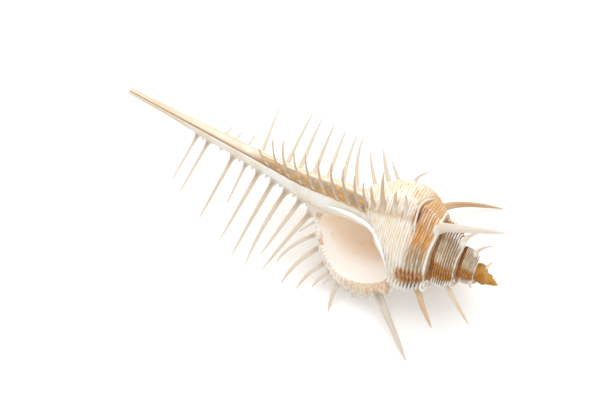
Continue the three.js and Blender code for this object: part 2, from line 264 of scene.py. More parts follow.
def loft(name, rings, marks):
    """A closed mesh from rings of points, with marks stored on its corners as named vectors."""
    count, sides = rings.shape[:2]
    middles = rings[[0, -1]].mean(axis=1)
    points = np.vstack([rings.reshape(-1, 3), middles])
    ring, side = np.meshgrid(np.arange(count - 1), np.arange(sides), indexing="ij")
    after = (side + 1) % sides
    quads = np.stack([ring * sides + side, ring * sides + after,
                      (ring + 1) * sides + after, (ring + 1) * sides + side], axis=-1).reshape(-1, 4)
    here = np.arange(sides)
    there = (here + 1) % sides
    first = np.stack([there, here, np.full(sides, count * sides)], axis=-1)
    end = (count - 1) * sides
    last = np.stack([end + here, end + there, np.full(sides, count * sides + 1)], axis=-1)
    a, b, c, d = (points[quads[:, i]] for i in range(4))
    volume = (np.cross(b, c) * a).sum() + (np.cross(c, d) * a).sum()
    faces = [*quads.tolist(), *first.tolist(), *last.tolist()]
    if volume < 0:
        faces = [face[::-1] for face in faces]
    mesh = bpy.data.meshes.new(name)
    mesh.from_pydata(points.tolist(), [], faces)
    corner = np.empty(len(mesh.loops), np.int32)
    mesh.loops.foreach_get("vertex_index", corner)
    for key, values in marks.items():
        flat = np.broadcast_to(values, (count, sides, 3)).reshape(-1, 3)
        whole = np.vstack([flat, flat[:1], flat[-1:]]).astype(np.float32)
        stored = mesh.attributes.new(key, "FLOAT_VECTOR", "CORNER")
        stored.data.foreach_set("vector", whole[corner].ravel())
    piece = bpy.data.objects.new(name, mesh)
    bpy.context.collection.objects.link(piece)
    return piece


# A piece's region, as its marks give it: canal, spine, inside of the mouth.
OUTSIDE = (0, 0, 0)
CANAL = (1, 0, 0)
SPINE = (0, 1, 0)
INSIDE = (0, 0, 1)
NONE = (0, 0, 0)


def marked(shape, region, coil, grown=NONE, along=NONE):
    """The marks of a piece's points for the finish, three numbers each, which it names for each region."""
    marks = {"coil": coil, "growth": grown, "region": region, "along": along}
    return {
        key: np.stack([np.broadcast_to(value, shape) for value in values], axis=-1)
        for key, values in marks.items()
    }


profile = smooth_line(WHORL_PROFILE, CORD_COUNT * ROWS_PER_CORD + 1)
across = np.linspace(0, 1, len(profile))


def cords(turn, share, older):
    """Height of the cords across a whorl, from 0 in a groove to 1 on a thick one.

    Each second cord is thin, and the older whorls have fewer, all wide.
    """
    phase = CORD_COUNT * share
    wide = 0.5 - 0.5 * np.cos(2 * np.pi * phase * OLDER_CORD_SHARE)
    ridge = 0.5 - 0.5 * np.cos(2 * np.pi * phase)
    thin = np.floor(phase) % 2
    beads = 1 + BEAD_HEIGHT * np.sin(np.radians(turn) * BEADS_PER_TURN + BEAD_SHIFT * np.floor(phase))
    return mix(ridge * np.where(thin > 0, THIN_CORD_SHARE, 1), wide, older) * beads


def axial_ribs(turn, share):
    """Low ribs across a whorl between its varices."""
    phase = AXIAL_RIBS_PER_VARIX * (turn - LIP_VARIX_TURN) / VARIX_SPACING
    ribs = (1 - varix_crest(turn)) * (0.5 - 0.5 * np.cos(2 * np.pi * phase))
    return ribs * bell(share, AXIAL_RIB_MIDDLE, AXIAL_RIB_SPREAD)


def row_turn(row, depth):
    """Turn at which a row's edge lies at a depth."""
    towards_canal = smoothstep(depth / growth(row["turn"]), *ROW_SLANT_CHANGE)
    return row["turn"] + mix(row["shoulder_slant"], row["canal_slant"], towards_canal)


def buttresses(turn, depth):
    """Narrow ribs that climb to the roots of the spines. Those of the top row are long on the canal."""
    total = 0 * turn * depth
    for row in (LIP_ROW, BACK_ROW, TOP_ROW):
        for root_depth, *_ in row["spines"][:-1]:
            ahead = turn - row_turn(row, root_depth)
            canal_kind = smoothstep(root_depth, *BUTTRESS_CHANGE) if row is TOP_ROW else 0
            length = mix(BODY_BUTTRESS, CANAL_BUTTRESS, canal_kind)
            middle = root_depth + BUTTRESS_LEAN * ahead * canal_kind
            ending, ended = (mix(*ends, canal_kind) for ends in zip(BODY_BUTTRESS_END, CANAL_BUTTRESS_END))
            climb = smoothstep(ahead, -length - BUTTRESS_EASE, -length + BUTTRESS_EASE)
            climb = climb * fade(ahead, ending, ended)
            total = np.maximum(total, climb * bell(depth, middle, BUTTRESS_WIDTH))
    return total


def cord_relief(turn, share, rise, crest, ridge, older, buttress):
    """How far the cords stand out. They rise into flutes on a varix and are pressed flat on a buttress."""
    flutes = mix(FLUTE_HEIGHT, OLDER_FLUTE_HEIGHT, older) * crest * np.maximum(rise, 0.75 * older)
    off_band = mix(smoothstep(share, SUTURE_BAND, SUTURE_BAND + 0.04), 1, crest)
    height = CORD_HEIGHT * (1 + OLDER_CORD_RISE * older) + flutes
    relief = height * (ridge - CORD_SINK) * off_band * (1 - 0.8 * buttress)
    return relief * (1 - LIP_SMOOTHNESS * smoothstep(turn, *AT_LIP))


def suture_relief(past, share):
    """The hollow band along the suture and its edge, which rises to a ridge before each shoulder spine."""
    to_spine = smoothstep(past, -60, -6) * fade(past, 0, 6)
    height = SUTURE_EDGE_HEIGHT + SHOULDER_RIDGE_HEIGHT * to_spine
    width = mix(SUTURE_EDGE_WIDTH, SHOULDER_RIDGE_WIDTH, to_spine)
    ridge = height * bell(share, SUTURE_BAND + 0.005, width)
    return ridge - SUTURE_BAND_DEPTH * bell(share, 0.5 * SUTURE_BAND, SUTURE_BAND_HALF)


def stain_mark(turn, past, share):
    """1 in the brown band past each varix. The younger bands are short, and the oldest reach furthest."""
    oldest = fade(turn, *PAST_OLDEST)
    band = smoothstep(past, 6, 11) * fade(past, mix(22, 34, oldest), mix(42, 56, oldest))
    whole = fade(turn, -130, -110)
    return band * fade(turn, *PAST_STAINS) * mix(fade(share, 0.34, 0.42), 1, whole)


def whorl_surface(turn, inward=0.0):
    """Rings of points over the outside of the whorls, with the marks that the finish reads."""
    turn = np.asarray(turn, float)[:, None]
    depth, reach, rise, slant = (column[None, :] for column in profile.T)
    share = across[None, :]
    size = growth(turn)
    crest = varix_crest(turn - slant)
    past = past_varix(turn - slant)
    older = fade(turn, *PAST_WIDE_CORDS)
    ridge = cords(turn, share, older)
    buttress = buttresses(turn, depth * size)
    apex = fade(turn, *PAST_APEX) * fade(share, 0, 0.3)
    lifted = (reach + VARIX_RISE * rise * varix_swell(turn - slant)) * (1 - APEX_PINCH * apex)
    relief = cord_relief(turn, share, rise, crest, ridge, older, buttress)
    relief = relief + AXIAL_RIB_HEIGHT * (1 + OLDER_AXIAL_RIB_RISE * older) * axial_ribs(turn, share)
    relief = relief + suture_relief(past, share) + BUTTRESS_HEIGHT / size * buttress - np.asarray(inward)
    relief = relief * smoothstep(share, 0, 0.03) * smoothstep(1 - share, 0, 0.06)
    run, climb = np.gradient(depth + 0 * turn, axis=1), np.gradient(lifted, axis=1)
    slope = np.hypot(run, climb)
    outer_depth = depth - climb / slope * relief
    outer_reach = lifted + run / slope * relief
    # Where the foot of the top row lies on the last whorl, and the pit beside the hood, painted dark:
    # partly its own brown and partly the shadow that the hood casts.
    foot = bell(turn, row_turn(TOP_ROW, depth * size) - 13, 3)
    pit_brown_and_shadow = bell(turn, 1, 8) * bell(share, 0.297, 0.018)
    stain = stain_mark(turn, past, share)
    coil = (turn / 360, share, ridge)
    marks = marked(outer_depth.shape, OUTSIDE, coil, (crest, stain, pit_brown_and_shadow), (foot, buttress, 0))
    return outer_depth * size, outer_reach * size, marks


def whorl_piece(turns, inward=0.0, forward=0.0):
    """One closed piece of the whorls. Inward and forward round off its last rings, at the lip."""
    depth, reach, marks = whorl_surface(turns, inward)
    turn = np.asarray(turns, float)[:, None] + np.asarray(forward)
    size = growth(np.asarray(turns, float))[:, None]
    outside = place(depth, reach, turn)
    inner = np.array(WHORL_INSIDE)
    inside = place(inner[None, :, 0] * size, inner[None, :, 1] * size, turn)
    padded = {
        key: np.concatenate([values, np.repeat(values[:, -1:], len(inner), axis=1)], axis=1)
        for key, values in marks.items()
    }
    return loft("whorl", np.concatenate([outside, inside], axis=1), padded)


# Degrees between two rings in each piece of the whorls, from the lip back to the apex.
WHORL_STEPS = [2.5, 2.5, 3.75, 3.75, 4.5, 5, 6.25, 7.5]
PIECE_TURNS = 225


def whorls():
    """The whorls in pieces of under a turn. Each starts a step early and so overlaps the older one."""
    pieces = []
    rounding = np.radians(np.linspace(0, 80, 6))[1:]
    end = LIP_TURN
    for step, older_step in zip(WHORL_STEPS, [*WHORL_STEPS[1:], WHORL_STEPS[-1]]):
        begin = end - PIECE_TURNS
        turns = [begin - older_step, *np.linspace(begin, end, round(PIECE_TURNS / step) + 1)]
        if end == LIP_TURN:
            inward = np.concatenate([np.zeros(len(turns)), LIP_ROUNDING * (1 - np.cos(rounding))])
            forward = np.concatenate([np.zeros(len(turns)), 4 * LIP_ROUNDING * np.sin(rounding)])
            turns = [*turns, *[LIP_TURN] * len(rounding)]
            pieces.append(whorl_piece(turns, inward[:, None], forward[:, None]))
        else:
            pieces.append(whorl_piece(turns))
        end = begin
    return pieces


# Canal: the columella runs down the middle of the whorls and goes on as the long siphonal canal, a tube
# open along one side by a narrow slit. Three low ridges run along it under the rows of spines.

SPINDLE = [
    (0, 0.05), (1.4, 0.8), (3.4, 1.5), (6.2, 2.1), (10, 2.9), (18, 3.6), (30, 3.6), (40, 4.3), (50, 4.7),
    (57, 4.3), (63, 3.5), (70, 2.7), (78, 2.3), (90, 1.9), (99, 1.55), (109, 1.15), (LENGTH, 0.9),
]
CANAL_RIDGE = 0.28
CANAL_RIDGE_WIDTH = 20
CANAL_BORE = 0.42
CANAL_SIDES = 78
# Between which depths the rings lie, and how many.
CANAL_RINGS = [(0, 12, 24), (12, 42, 12), (42, 80, 110), (80, LENGTH, 40)]
CANAL_CORDS = 26
CANAL_CORD_HEIGHT = 0.05
CANAL_WRINKLE_HEIGHT = 0.02
APEX_SERRATION = 0.26
SLIT_TURN = 328
SLIT_START_DEPTH = 58
SLIT_WIDTH = 0.42
SLIT_DEPTH = 0.16
BORE_END_DEPTH = 112
SLIT_LIP_HEIGHT = 0.16
SLIT_LIP_WIDTH = 11
SLIT_LIP_MIDDLE = 14

spindle_line = smooth_line(SPINDLE, 600)


def spindle_reach(depth):
    return np.interp(depth, spindle_line[:, 0], spindle_line[:, 1])


def canal_ridge(turn, depth):
    share = smoothstep(depth, 36, 56) * fade(depth, 92, 116)
    return CANAL_RIDGE * share * bell(past_varix(turn), 0, CANAL_RIDGE_WIDTH)


def spindle():
    """The columella and the canal, from the saw-toothed apex to the canal's tip."""
    depth = np.unique(np.concatenate([np.linspace(*span) for span in CANAL_RINGS]))[:, None]
    around = once_round(CANAL_SIDES, 1)[None, :]
    turn = SLIT_TURN + 360 * around
    from_slit = np.minimum(around, 1 - around) * 360
    on_canal = smoothstep(depth, 50, 60)
    lip = SLIT_LIP_HEIGHT * bell(from_slit, SLIT_LIP_MIDDLE, SLIT_LIP_WIDTH) * smoothstep(depth, 56, 66)
    cord = CANAL_CORD_HEIGHT * np.cos(2 * np.pi * CANAL_CORDS * around) * on_canal
    wrinkle = CANAL_WRINKLE_HEIGHT * np.sin(depth * 5.3 + 3 * np.sin(turn / 40)) * on_canal
    buttress = buttresses(turn - 360 * (turn > SLIT_TURN), depth)
    serration = APEX_SERRATION * np.sin(depth * 5.5 + np.radians(turn)) * np.sin(np.radians(turn) * 8)
    serration = serration * smoothstep(depth, 0, 1.5) * fade(depth, 6, 12)
    reach = spindle_reach(depth) * (1 + canal_ridge(turn, depth) + lip + wrinkle) + cord
    reach = reach + serration + BUTTRESS_HEIGHT * buttress
    coil = (around, depth / LENGTH, buttress)
    marks = marked(reach.shape, CANAL, coil, along=(depth / LENGTH, 0, 0))
    return loft("canal", place(depth, reach, turn), marks)


def canal_bore():
    """The bore where it opens at the canal's tip."""
    depth = np.array([BORE_END_DEPTH, LENGTH + 1])[:, None]
    angle = once_round(16)[None, :]
    rings = place(depth, CANAL_BORE * spindle_reach(LENGTH), np.degrees(angle))
    return loft("canal_bore", rings, marked(rings.shape[:2], CANAL, (0.5, 0, 0), along=(1, 0, 0)))


def slit():
    """The narrow slit along the canal, nearly closed by its lips."""
    depth = np.linspace(SLIT_START_DEPTH - 2, LENGTH + 1, 80)[:, None]
    opening = smoothstep(depth, SLIT_START_DEPTH - 2, SLIT_START_DEPTH + 6)
    outside = spindle_reach(depth)
    sideways = SLIT_WIDTH / 2 * np.array([[-0.4, -1, 1, 0.4]])
    out = np.where([[True, False, False, True]], outside - SLIT_DEPTH * opening, outside + 2)
    rings = place(depth, np.hypot(out, sideways), SLIT_TURN + np.degrees(np.arctan2(sideways, out)))
    return loft("slit", rings, marked(rings.shape[:2], CANAL, (0, 0, 0), along=(depth / LENGTH, 0, 0)))


# Spines: each varix carries a row of long hollow spines, drawn out from its edge as it grew, and so do
# the ridges of the canal. Every spine is open along its front as a fine groove.

# The shoulder spine of each older varix, counted back from the lip's: slant, depth of the root, depth and
# reach of the tip, radius, bow and how tan it is. Those that slant curve up from a heel.
OLDER_SPINES = [
    (3, 0, 19.6, 10.2, 19.6, 1.3, 0.5, 0.8), (4, 0, 16.8, 11.6, 15.8, 0.9, 0.4, 0.4),
    (5, 6, 14.0, 10.6, 12.9, 1.0, 0.6, 0.1), (6, 0, 12.6, 1.1, 14.3, 0.95, 0.5, 0.5),
    (7, 0, 10.3, 7.0, 8.8, 0.6, 0.3, 0.5), (8, 6, 9.8, 5.9, 9.8, 0.7, 0.8, 0.3),
    (9, 0, 7.3, 5.8, 5.4, 0.5, 0, 0.6), (11, 6, 5.4, 4.6, 4.8, 0.6, 0, 0.6),
]
SPINE_ROOT_SINK = 0.9
SPINE_SIDES = 12
SPINE_RINGS = 16
SPINE_RING_CROWDING = 1.25
SPINE_ROOT_GIRTH = 0.86
SPINE_TIP_GIRTH = 0.3
SPINE_TIP_RADIUS = 0.22
SPINE_GROOVE = 0.42
SPINE_GROOVE_ANGLE = 0.6
SPINE_FLARE_LENGTH = 1.3
SPINE_FLARE = 0.25
# How much a foot spreads: behind the spine on the body, then to the sides and behind on the canal.
BODY_WEB = 0.6
CANAL_WEB = 1.1
CANAL_BACK_WEB = 0.1
BODY_END = 55
TIP_CLEARANCE = 0.08

# The top row's spines past the hood curve up from a heel, which lies this far back in turn and this far in.
HOOD_DEPTH = 30
CANAL_HEEL_DEPTH = 45
CANAL_HEEL = 26
CANAL_HEEL_DROP = 1.5
BODY_HEEL = 13
BODY_HEEL_DROP = 2.3
OLDER_HEEL = 22
OLDER_HEEL_DROP = 4.4
HEEL_PALE_LENGTH = 3
HEEL_SWELL = 0.35
HEEL_SWELL_LENGTH = 5
HEEL_END_GIRTH = 0.3

NUB_RINGS = 8
NUB_LENGTH = 4
NUB_SINK = 0.5
NUB_HEIGHT = 0.65
NUB_RADIUS = 0.46
CREST_LINE = [(d, r + VARIX_RISE * rise) for d, r, rise, _ in WHORL_PROFILE]


def crest_reach(depth, turn):
    """Reach of a varix's edge, or of the canal's ridge where that stands higher."""
    size = growth(turn)
    body = 0.0
    if depth < CREST_LINE[-1][0] * size:
        body = np.interp(depth / size, [d for d, _ in CREST_LINE], [r for _, r in CREST_LINE]) * size
    return max(body, spindle_reach(depth) * (1 + CANAL_RIDGE))


def spine_middle(root, tip, bow, heel, share):
    """Points along the middle of a spine, and its heading at each. It bows out towards the canal."""
    control = (root + tip) / 2 + np.array([-2 * bow * MM, 0, 0])
    if heel is None:
        a, b, c, d = root, (root + 2 * control) / 3, (2 * control + tip) / 3, tip
    else:
        a, b, c, d = heel, root, control, tip
    s = share[:, None]
    middle = a * (1 - s) ** 3 + 3 * b * s * (1 - s) ** 2 + 3 * c * s * s * (1 - s) + d * s ** 3
    heading = (b - a) * (1 - s) ** 2 + 2 * (c - b) * s * (1 - s) + (d - c) * s * s
    return middle, heading / np.linalg.norm(heading, axis=1)[:, None]


def spine(root, tip, radius, bow, look, on_canal=False, heel=None):
    """A tapering spine from root to tip with a groove along its front and a foot that spreads at its root.

    One with a heel has no foot and curves up to its root from there.
    """
    tan, grey, yellow = look
    length = np.linalg.norm(tip - root) / MM
    count = NUB_RINGS if length < NUB_LENGTH else SPINE_RINGS
    share = np.linspace(0, 1, count) ** SPINE_RING_CROWDING
    middle, heading = spine_middle(root, tip, bow, heel, share)
    side = np.cross(heading, np.array([1.0, 0, 0]))
    side /= np.linalg.norm(side, axis=1)[:, None]
    front = np.cross(side, heading)
    climbed = share * length
    flare = bell(climbed, 0, SPINE_FLARE_LENGTH) * (heel is None)
    paler = flare if heel is None else 0.8 * bell(climbed, 0, HEEL_PALE_LENGTH)
    width = radius * mix(SPINE_ROOT_GIRTH, SPINE_TIP_GIRTH, share) * (1 - 0.5 * smoothstep(share, 0.75, 1))
    width = np.maximum(SPINE_TIP_RADIUS, width) * (1 + SPINE_FLARE * flare)
    width = width * np.where(share > 0.995, 0.55, 1)
    if heel is not None:
        width = width * (1 + HEEL_SWELL * bell(climbed, 0, HEEL_SWELL_LENGTH))
        width = width * mix(HEEL_END_GIRTH, 1, smoothstep(share, 0, 0.16))
    angle = once_round(SPINE_SIDES)[None, :]
    groove = bell(np.minimum(angle, 2 * np.pi - angle), 0, SPINE_GROOVE_ANGLE)
    cut = SPINE_GROOVE * fade(share, 0.55, 0.95)[:, None]
    web = CANAL_BACK_WEB if on_canal else BODY_WEB
    behind = np.where(np.cos(angle) < 0, 1 + web * flare[:, None], 1)
    spread = 1 + (CANAL_WEB if on_canal else 0) * flare[:, None]
    across_way = width[:, None] * np.cos(angle) * behind * (1 - cut * groove)
    along_way = width[:, None] * np.sin(angle) * spread
    rings = (middle[:, None, :] + side[:, None, :] * (across_way * MM)[..., None]
             + front[:, None, :] * (along_way * MM)[..., None])
    coil = (angle / (2 * np.pi), root[0] * 100, 0.5)
    grown = (paler[:, None], grey, yellow)
    return loft("spine", rings, marked(rings.shape[:2], SPINE, coil, grown, (share[:, None], tan, groove)))


def spine_row(row):
    """A row of spines on one varix, with a small nub between each two on the canal where it lies open."""
    made = []
    turn = row["turn"]
    for root_depth, tip_depth, tip_reach, radius, bow, *lean in row["spines"]:
        at = row_turn(row, root_depth)
        down = -math.cos(math.radians(at))
        on_shoulder = root_depth == row["spines"][-1][0]
        girth = 1 if on_shoulder else row["girth"]
        most = (AXIS_HEIGHT - SPINE_TIP_RADIUS - TIP_CLEARANCE) / down if down > 0 else tip_reach
        edge = crest_reach(root_depth, turn)
        tip = place(tip_depth, min(tip_reach, most), at + sum(lean))
        if row is TOP_ROW and root_depth > HOOD_DEPTH:
            back, drop = BODY_HEEL, BODY_HEEL_DROP
            if root_depth > CANAL_HEEL_DEPTH:
                back, drop = CANAL_HEEL, CANAL_HEEL_DROP
            root = place(root_depth, edge, at)
            heel = place(root_depth - BUTTRESS_LEAN * back, edge - drop, at - back)
            made.append(spine(root, tip, radius * girth, bow, row["look"], heel=heel))
            continue
        root = place(root_depth, edge - SPINE_ROOT_SINK, at)
        look = row["shoulder_look"] if on_shoulder else row["look"]
        made.append(spine(root, tip, radius * girth, bow, look, root_depth > BODY_END))
    depths = [s[0] for s in row["spines"] if s[0] > BODY_END and row is not TOP_ROW]
    for a, b in zip(depths, depths[1:]):
        middle = (a + b) / 2
        foot = spindle_reach(middle) * (1 + CANAL_RIDGE)
        root = place(middle, foot - NUB_SINK, row_turn(row, middle))
        tip = place(middle + 0.2, foot + NUB_HEIGHT, row_turn(row, middle))
        made.append(spine(root, tip, NUB_RADIUS, 0, row["look"], True))
    return made


def older_spines():
    """The shoulder spines of the older varices."""
    made = []
    for varix, slant, root_depth, tip_depth, tip_reach, radius, bow, tan in OLDER_SPINES:
        turn = LIP_VARIX_TURN - varix * VARIX_SPACING
        edge = crest_reach(root_depth, turn)
        root = place(root_depth, edge - SPINE_ROOT_SINK, turn + slant)
        heel = None
        if slant:
            heel = place(root_depth - 0.4, edge - OLDER_HEEL_DROP * growth(turn), turn + slant - OLDER_HEEL)
        tip = place(tip_depth, tip_reach, turn + slant)
        made.append(spine(root, tip, radius, bow, (tan, 0.15, 0.0), heel=heel))
    return made


# Mouth: the smooth, glossy hollow where the animal lived. It narrows inwards with growth, flares at the
# lip, and runs out over the whorl before as a glaze with a raised white rim.

# Depth and reach of the rim at the lip, how much it flares, and where the hollow runs out.
MOUTH = [
    (28.6, 13.0, 0.9, 28.2, 15.0), (32.6, 15.4, 2.2, 32.6, 20.0), (37.2, 16.4, 2.7, 37.2, 22.0),
    (41.8, 16.2, 2.8, 41.8, 22.0), (46.4, 14.2, 2.2, 46.4, 19.0), (50.6, 10.2, 1.2, 50.6, 13.0),
    (53.4, 6.4, 0.3, 53.4, 8.0), (49.6, 4.8, 0, 49.4, 5.8), (44.2, 4.2, 0, 44.0, 5.6),
    (39.6, 4.0, 0, 39.4, 6.6), (35.6, 5.2, 0, 35.6, 9.3), (31.2, 8.9, 0, 31.2, 12.0),
]
MOUTH_DEPTH = 45
HOLLOW_TURNS = 300
HOLLOW_END = (41, 9.5)
HOLLOW_STEP = 8
MOUTH_STEP = 2.5
MOUTH_START = 180
MOUTH_FLARE_START = 200
MOUTH_END_TURN = 302
MOUTH_SIDES = 80
LIP_FLUTE = 0.05
LIP_FLUTES = 30
LIP_FLUTE_START = 228
# The porcelain whitens towards the lip between these turns, later at the greater depths: partly its own
# tone and partly painted light on the lower wall of the mouth, with the tan deeper in partly painted shade.
WHITENING = (129, 160)
WHITENING_SLANT = 1.6
# The raised rim of the glaze, from the canal round to the suture: turn, depth, reach.
RIM = [
    (283, 54.6, 4.6), (296, 51.0, 4.9), (302, 47.0, 5.2), (303, 42.5, 5.4), (304, 39.2, 6.3),
    (304, 36.2, 8.3), (300, 33.4, 10.6), (290, 31.0, 11.9), (276, 29.4, 12.4), (262, 28.4, 12.8),
]
RIM_RINGS = 60
RIM_HEIGHT = 0.368
RIM_WIDTH = 0.598

# The edge of the hood over the shoulder: turn, depth, reach of the middle of its height.
HOOD = [
    (-20, 25.2, 11.9), (-8, 26.4, 14.2), (3, 27.3, 15.9),
    (9, 27.3, 17.6), (14, 26.4, 18.6), (19, 24.9, 19.4),
]
HOOD_RINGS = 40
HOOD_HEIGHT = 1.6
HOOD_THICKNESS = 0.3
WELT_SIDES = 12


def hollow():
    """The hollow to cut out of the last whorl, from far inside it out past its lip."""
    start = LIP_TURN - HOLLOW_TURNS
    inner = np.arange(start, MOUTH_START, HOLLOW_STEP)
    outer = np.arange(MOUTH_START, LIP_TURN, MOUTH_STEP)
    turn = np.concatenate([inner, outer, np.linspace(LIP_TURN, MOUTH_END_TURN, 24)])[:, None]
    rim = smooth_line(MOUTH, MOUTH_SIDES, closed=True)
    depth, reach, flare, end_depth, end_reach = (column[None, :] for column in rim.T)
    size = growth(np.minimum(turn, LIP_TURN))
    flaring = smoothstep(turn, MOUTH_FLARE_START, LIP_TURN)
    opening = smoothstep(turn, start - 20, start + 60)
    ending = smoothstep(turn, LIP_TURN, MOUTH_END_TURN)
    flutes = LIP_FLUTE * np.cos(np.linspace(0, 2 * np.pi * LIP_FLUTES, MOUTH_SIDES))[None, :]
    fluted = flutes * smoothstep(flare, 0.5, 1.5) * smoothstep(turn, LIP_FLUTE_START, LIP_TURN)
    ring_depth = mix(mix(HOLLOW_END[0], depth, opening), end_depth, ending) * size
    ring_reach = mix(mix(HOLLOW_END[1], reach, opening) + flare * flaring, end_reach, ending)
    rings = place(ring_depth, (ring_reach + fluted) * size, turn)
    coil = (turn / 360, once_round(MOUTH_SIDES, 1)[None, :], 0.5)
    whitening = smoothstep(turn - WHITENING_SLANT * ring_depth / size, *WHITENING)
    along = (whitening, 0, smoothstep(flare, 0.2, 1.5))
    return loft("hollow", rings, marked(rings.shape[:2], INSIDE, coil, along=along))


def welt(name, path, count, high, wide, taper, **marks):
    """A ridge along a path of turns, depths and reaches. Its section is high away from the axis."""
    line = smooth_line([place(d, r, t) / MM for t, d, r in path], count) * MM
    heading = np.gradient(line, axis=0)
    heading /= np.linalg.norm(heading, axis=1)[:, None]
    outward = line - np.array([0, canal_shift(MOUTH_DEPTH) * MM, AXIS_HEIGHT * MM])
    outward[:, 0] = 0
    outward -= heading * (outward * heading).sum(axis=1)[:, None]
    outward /= np.linalg.norm(outward, axis=1)[:, None]
    side = np.cross(heading, outward)
    angle = once_round(WELT_SIDES)[None, :, None]
    share = np.linspace(0, 1, len(line))[:, None, None]
    size = MM * (smoothstep(share, 0, taper) * smoothstep(1 - share, 0, taper) * 0.85 + 0.15)
    rings = line[:, None, :] + size * (high * np.cos(angle) * outward[:, None, :]
                                       + wide * np.sin(angle) * side[:, None, :])
    return loft(name, rings, marked(rings.shape[:2], **marks))


def glaze_rim():
    """The raised white rim of the glaze that the mouth spreads over the whorl before."""
    marks = {"region": INSIDE, "coil": (0, 0, 0.5), "along": (1, 1, 0)}
    return welt("rim", RIM, RIM_RINGS, RIM_HEIGHT, RIM_WIDTH, taper=0.25, **marks)


def hood():
    """The thin raised edge of the varix at the top, between its last small spine and its shoulder spine."""
    turn = np.linspace(HOOD[0][0], HOOD[-1][0], HOOD_RINGS)[:, None]
    angle = once_round(WELT_SIDES)[None, :]
    # Its top is painted white: partly the hood's own white and partly a painted highlight where the light
    # from above falls on it.
    top = smoothstep(np.cos(angle), 0.2, 0.85)
    marks = {"coil": (turn / 360, 0.15 + 0.1 * top, top), "grown": (top, 0, 0), "along": (0, 0, top)}
    return welt("hood", HOOD, HOOD_RINGS, HOOD_HEIGHT, HOOD_THICKNESS, taper=0.2, region=OUTSIDE, **marks)


# Shell: the whorls, canal and spines are one growth of aragonite with no joints between them, so they are
# joined into one skin, and the mouth and the canal's slit are opened in it.


def joined(pieces):
    """The pieces as one object. They don't touch each other."""
    bpy.ops.object.select_all(action="DESELECT")
    for piece in pieces:
        piece.select_set(True)
    bpy.context.view_layer.objects.active = pieces[0]
    bpy.ops.object.join()
    return pieces[0]


def combine(body, other, operation):
    """Adds the other piece to the body's skin, or cuts it out."""
    modifier = body.modifiers.new(operation.lower(), "BOOLEAN")
    modifier.operation = operation
    modifier.solver = "MANIFOLD"
    modifier.object = other
    bpy.context.view_layer.objects.active = body
    bpy.ops.object.modifier_apply(modifier=modifier.name)
    bpy.data.objects.remove(other)


shell, *older_whorls = whorls()
shell.name = "murex_shell"
for older_whorl in older_whorls:
    combine(shell, older_whorl, "UNION")
combine(shell, hood(), "UNION")
combine(shell, spindle(), "UNION")
# Four groups, so that no two spines that touch are joined before they are added.
all_spines = [s for row in (LIP_ROW, BACK_ROW, TOP_ROW) for s in spine_row(row)] + older_spines()
for group in range(4):
    combine(shell, joined(all_spines[group::4]), "UNION")
for opening in (hollow, canal_bore, slit):
    combine(shell, opening(), "DIFFERENCE")
combine(shell, glaze_rim(), "UNION")
bpy.ops.object.select_all(action="DESELECT")
shell.select_set(True)
bpy.context.view_layer.objects.active = shell
bpy.ops.object.shade_smooth_by_angle(angle=math.radians(50))


# Finish: chalky cream outside with brown dashes between the cords, warm stains after each varix, and
# glossy white to tan porcelain inside the mouth. The colours follow the spiral in which they were laid.


def rgb(code):
    """A colour from its hex code, as linear light."""
    channels = [int(code[i:i + 2], 16) / 255 for i in (0, 2, 4)]
    return tuple(c / 12.92 if c <= 0.04045 else ((c + 0.055) / 1.055) ** 2.4 for c in channels) + (1.0,)


class Signal:
    """A number, vector or colour that varies over the surface. Arithmetic on it adds Math nodes."""

    def __init__(self, finish, socket):
        self.finish = finish
        self.socket = socket

    def math(self, operation, *values, **settings):
        inputs = dict(enumerate((self, *values)))
        return self.finish.node("ShaderNodeMath", {"operation": operation, **settings}, inputs)

    def __add__(self, other):
        return self.math("ADD", other)

    def __mul__(self, other):
        return self.math("MULTIPLY", other)

    def __sub__(self, other):
        return self.math("SUBTRACT", other)

    def __rsub__(self, other):
        return (self * -1) + other

    __radd__ = __add__
    __rmul__ = __mul__

    def above(self, low, high):
        """0 below low and 1 above high, eased between."""
        inputs = {"Value": self, "From Min": low, "From Max": high}
        return self.finish.node("ShaderNodeMapRange", {"interpolation_type": "SMOOTHSTEP"}, inputs)

    def below(self, low, high):
        return 1 - self.above(low, high)


class Finish:
    """A material's nodes."""

    def __init__(self, name):
        self.material = bpy.data.materials.new(name)
        self.material.use_nodes = True
        self.tree = self.material.node_tree
        self.tree.nodes.clear()

    def node(self, kind, settings=None, inputs=None, output=0):
        node = self.tree.nodes.new(kind)
        for name, value in (settings or {}).items():
            setattr(node, name, value)
        for key, value in (inputs or {}).items():
            if isinstance(value, Signal):
                self.tree.links.new(value.socket, node.inputs[key])
            else:
                node.inputs[key].default_value = value
        return Signal(self, node.outputs[output]) if node.outputs else None

    def parts(self, name):
        """The three numbers of a stored vector."""
        vector = self.node("ShaderNodeAttribute", {"attribute_name": name}, output=1)
        return [self.node("ShaderNodeSeparateXYZ", None, {0: vector}, i) for i in range(3)]

    def noise(self, where, scale, detail=2.0):
        inputs = {"Vector": where, "Scale": scale, "Detail": detail}
        return self.node("ShaderNodeTexNoise", None, inputs)

    def shell_noise(self, x, y, z=0.0, detail=1.0):
        """Noise along the shell's own directions instead of in space."""
        where = self.node("ShaderNodeCombineXYZ", None, {0: x, 1: y, 2: z})
        return self.noise(where, 1.0, detail)

    def mixed(self, a, b, factor):
        inputs = {0: factor, 6: a, 7: b}
        return self.node("ShaderNodeMix", {"data_type": "RGBA", "clamp_factor": True}, inputs, 2)

    def cover(self, piece, inputs):
        """Makes the shader from its inputs and puts the material on the piece."""
        shader = self.node("ShaderNodeBsdfPrincipled", None, inputs)
        self.node("ShaderNodeOutputMaterial", None, {"Surface": shader})
        piece.data.materials.clear()
        piece.data.materials.append(self.material)


class Coat:
    """A colour painted over in layers."""

    def __init__(self, finish, colour):
        self.finish = finish
        self.colour = colour

    def paint(self, colour, where):
        self.colour = self.finish.mixed(self.colour, colour, where)


